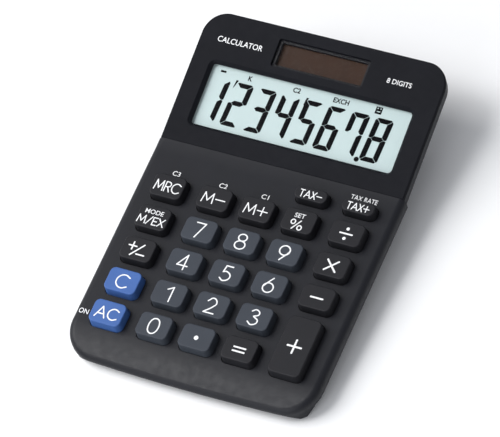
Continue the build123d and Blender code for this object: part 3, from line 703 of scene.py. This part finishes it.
lcd = {
    "view": (84.0, 25.3), "shift": (-0.55, 0.58), "raise": 0.02, "thick": 0.03,
    "digits": "12345678", "pitch": 9.79, "firstX": 5.35, "topY": 5.2, "tall": 17.9,
    "wide": 7.45, "bar": 2.15, "flat": 1.9, "waist": 0.55, "gap": 0.16, "slant": 3.3, "corner": 1.0,
    "mitre": 1.4, "cornerInset": 0.1, "cornerSlope": 1.3, "notch": 0.25, "notchSlope": 0.5,
    "apostrophes": (11.55, 41.3), "apostropheY": 6.1, "dot": (68.9, 23.1, 1.0),
    "signBold": 0.028, "minus": (5.1, 2.4), "symbol": (70.55, 2.5),
}
litSegments = {
    "1": "bc", "2": "abged", "3": "abgcd", "4": "fgbc",
    "5": "afgcd", "6": "afgedc", "7": "fabc", "8": "abcdefg",
}
lcdX, lcdY = lcd["shift"]
lcdPlace = placeAt(
    lcdX * mm, lcdBack + lcdY * mm, polarizerTop + lcd["raise"] * mm, displayBack, displayUp
)


def cutPlate(x0, x1, y0, y1, cuts):  # rectangle trimmed by lines, each a point on the line and the way off it
    bm = bmesh.new()
    bmesh.ops.create_grid(bm, x_segments=1, y_segments=1, size=0.5)
    bmesh.ops.scale(bm, vec=(x1 - x0, y1 - y0, 1), verts=bm.verts)
    bmesh.ops.translate(bm, vec=((x0 + x1) / 2, (y0 + y1) / 2, 0), verts=bm.verts)
    for point, away in cuts:
        bmesh.ops.bisect_plane(
            bm, geom=bm.verts[:] + bm.edges[:] + bm.faces[:],
            plane_co=(*point, 0), plane_no=(*away, 0), clear_outer=True,
        )
    grown = bmesh.ops.extrude_face_region(bm, geom=bm.faces[:])
    lifted = [v for v in grown["geom"] if isinstance(v, bmesh.types.BMVert)]
    bmesh.ops.translate(bm, vec=(0, 0, lcd["thick"]), verts=lifted)
    bmesh.ops.recalc_face_normals(bm, faces=bm.faces)
    return meshFrom("plate", bm)


def segmentPlate(segment):  # one bar of a digit whose middle is the origin, in millimetres
    halfWide, halfTall, bar, flat = lcd["wide"] / 2, lcd["tall"] / 2, lcd["bar"], lcd["flat"]
    gap, waist, corner = lcd["gap"] / 2, lcd["waist"], lcd["corner"]
    slope, cornerSlope = flat / bar, lcd["cornerSlope"]
    mitre, cut = gap * lcd["mitre"], corner + lcd["cornerInset"]
    if segment in "ad":
        sign = 1 if segment == "a" else -1
        y0, y1 = sorted((sign * halfTall, sign * (halfTall - flat)))
        cuts = []
        for side in (-1, 1):
            cuts.append(((side * (halfWide - mitre), sign * halfTall), (side * slope, -sign)))
            cuts.append(((side * (halfWide - cut), sign * halfTall), (side, sign * cornerSlope)))
        return cutPlate(-halfWide, halfWide, y0, y1, cuts)
    if segment == "g":
        cuts = []
        for side in (-1, 1):
            for up in (-1, 1):
                cuts.append(((side * (halfWide - bar / 2 - gap), waist), (side * flat / 2, up * bar / 2)))
        return cutPlate(-halfWide + bar / 2, halfWide - bar / 2, waist - flat / 2, waist + flat / 2, cuts)
    side = -1 if segment in "ef" else 1
    up = 1 if segment in "bf" else -1
    x0, x1 = sorted((side * halfWide, side * (halfWide - bar)))
    y0, y1 = sorted((waist + up * gap, up * halfTall))
    cuts = [
        ((side * halfWide, up * (halfTall - mitre)), (side * -slope, up)),
        ((side * halfWide, up * (halfTall - cut)), (side * cornerSlope, up)),
        ((side * (halfWide - bar / 2), waist + up * gap), (side * -flat / 2, up * -bar / 2)),
        ((side * halfWide, waist + up * (gap + lcd["notch"])), (side * lcd["notchSlope"], -up)),
    ]
    return cutPlate(x0, x1, y0, y1, cuts)


halfView = Vector((lcd["view"][0] / 2, lcd["view"][1] / 2, 0))
scaleDown = Matrix.Diagonal((mm, mm, mm, 1))
slant = Matrix.Identity(4)
slant[0][1] = tan(radians(lcd["slant"]))
digitMiddle = lcd["topY"] + lcd["tall"] / 2


def onView(x, y):  # from the view's top left corner, in millimetres, to the display
    return lcdPlace @ scaleDown @ Matrix.Translation((x - halfView.x, halfView.y - y, 0))


parts = []
for place, digit in enumerate(lcd["digits"]):
    x = lcd["firstX"] + place * lcd["pitch"]
    for segment in litSegments[digit]:
        parts.append((segmentPlate(segment), onView(x, digitMiddle) @ slant))
apostrophe = (-0.75, 0.75, -1.6, 1.6, [((0.75, 1.6), (1, -0.28)), ((-0.2, 1.6), (-1, 0.05))])
for x in lcd["apostrophes"]:
    parts.append((cutPlate(*apostrophe), onView(x, lcd["apostropheY"]) @ slant))
dotX, dotY, dotRadius = lcd["dot"]
bm = bmesh.new()
bmesh.ops.create_cone(
    bm, cap_ends=True, segments=40, radius1=dotRadius, radius2=dotRadius, depth=lcd["thick"],
    matrix=Matrix.Translation((0, 0, lcd["thick"] / 2)),
)
parts.append((meshFrom("dot", bm), onView(dotX, dotY)))
addPiece("lcd_digits", joined("lcdDigits", parts), "case", segmentInk)

# signs: text, width, height, across, down from the view's top left corner
lcdSigns = [("K", 1.7, 2.1, 16.65, 2.65), ("C2", 3.1, 2.1, 36.35, 2.65), ("EXCH", 6.5, 2.1, 54.95, 2.6)]
parts = []
for words, width, height, x, y in lcdSigns:
    parts.append((fontText(words, width, height, lcd["thick"], lcd["signBold"]), onView(x, y)))
minusBar = (-1.15, 1.15, -0.42, 0.42)
parts.append((cutPlate(*minusBar, []), onView(*lcd["minus"])))
symbolBars = (
    (-1.35, 1.35, 1.05, 1.45), (-1.35, -0.85, 0.55, 1.05), (-0.35, 0.35, 0.55, 1.05), (0.85, 1.35, 0.55, 1.05),
    (-1.35, 1.35, -0.25, 0.55), (-1.35, -0.75, -0.65, -0.25), (0.75, 1.35, -0.65, -0.25),
    (-1.35, 1.35, -1.45, -0.65),
)
for bar in symbolBars:
    parts.append((cutPlate(*bar, []), onView(*lcd["symbol"])))
addPiece("lcd_signs", joined("lcdSigns", parts), "case", segmentInk)
print("display: digits and signs")

# floor, light and camera

floorSetup = {"size": 12.0, "colour": (0.93, 0.935, 0.94)}
bm = bmesh.new()
bmesh.ops.create_grid(bm, x_segments=8, y_segments=8, size=floorSetup["size"] / 2)
floorMesh = meshFrom("floor", bm)
floorMesh.transform(Matrix.Translation((0, 0, cadLow.z)))
floor = linkObject("floor", floorMesh)
floorMesh.materials.append(moulded("floorPaper", floorSetup["colour"], 0.85, 0.004, 1.5, 0.02, 0.2))

world = bpy.data.worlds.new("studio")
world.use_nodes = True
skySetup = {"colour": (0.93, 0.95, 1.0, 1), "strength": 0.42}
sky = world.node_tree.nodes["Background"]
sky.inputs["Color"].default_value = skySetup["colour"]
sky.inputs["Strength"].default_value = skySetup["strength"]
bpy.context.scene.world = world

lights = {
    "keyLight": {"place": (-0.95, -0.25, 1.05), "size": 1.3, "power": 19.0, "colour": (1.0, 0.99, 0.98)},
    "topLight": {"place": (-0.52, -0.37, 1.20), "size": 0.5, "power": 4.0, "colour": (0.97, 0.98, 1.0)},
    "frontLight": {"place": (-0.10, -1.10, 0.50), "size": 0.8, "power": 4.3, "colour": (0.96, 0.98, 1.0)},
}
centre = (cadLow + cadHigh) / 2
for name, setup in lights.items():
    light = bpy.data.lights.new(name, "AREA")
    light.shape = "DISK"
    light.size = setup["size"]
    light.energy = setup["power"]
    light.color = setup["colour"]
    lamp = linkObject(name, light)
    lamp.location = centre + Vector(setup["place"])
    lamp.rotation_mode = "QUATERNION"
    lamp.rotation_quaternion = (centre - lamp.location).to_track_quat("-Z", "Y")

cameraSetup = {
    "place": (0.64947, -0.80910, 1.33667), "lookAt": (-0.00320, -0.04328, -0.00855), "roll": -19.498,
    "lens": 324.0, "sensor": 36.0, "near": 0.1, "far": 20.0,
}
viewMiddle = placeAt(0, lcdBack, panelTop, displayBack, displayUp).translation
camera = linkObject("camera", bpy.data.cameras.new("camera"))
camera.data.lens = cameraSetup["lens"]
camera.data.sensor_width = cameraSetup["sensor"]
camera.data.clip_start = cameraSetup["near"]
camera.data.clip_end = cameraSetup["far"]
camera.location = viewMiddle + Vector(cameraSetup["place"])
camera.rotation_mode = "QUATERNION"
level = (viewMiddle + Vector(cameraSetup["lookAt"]) - camera.location).to_track_quat("-Z", "Y")
camera.rotation_quaternion = level @ Quaternion((0, 0, 1), radians(cameraSetup["roll"]))
bpy.context.scene.camera = camera
bpy.context.scene.view_settings.view_transform = "Standard"
print("stage: floor, lights, camera")
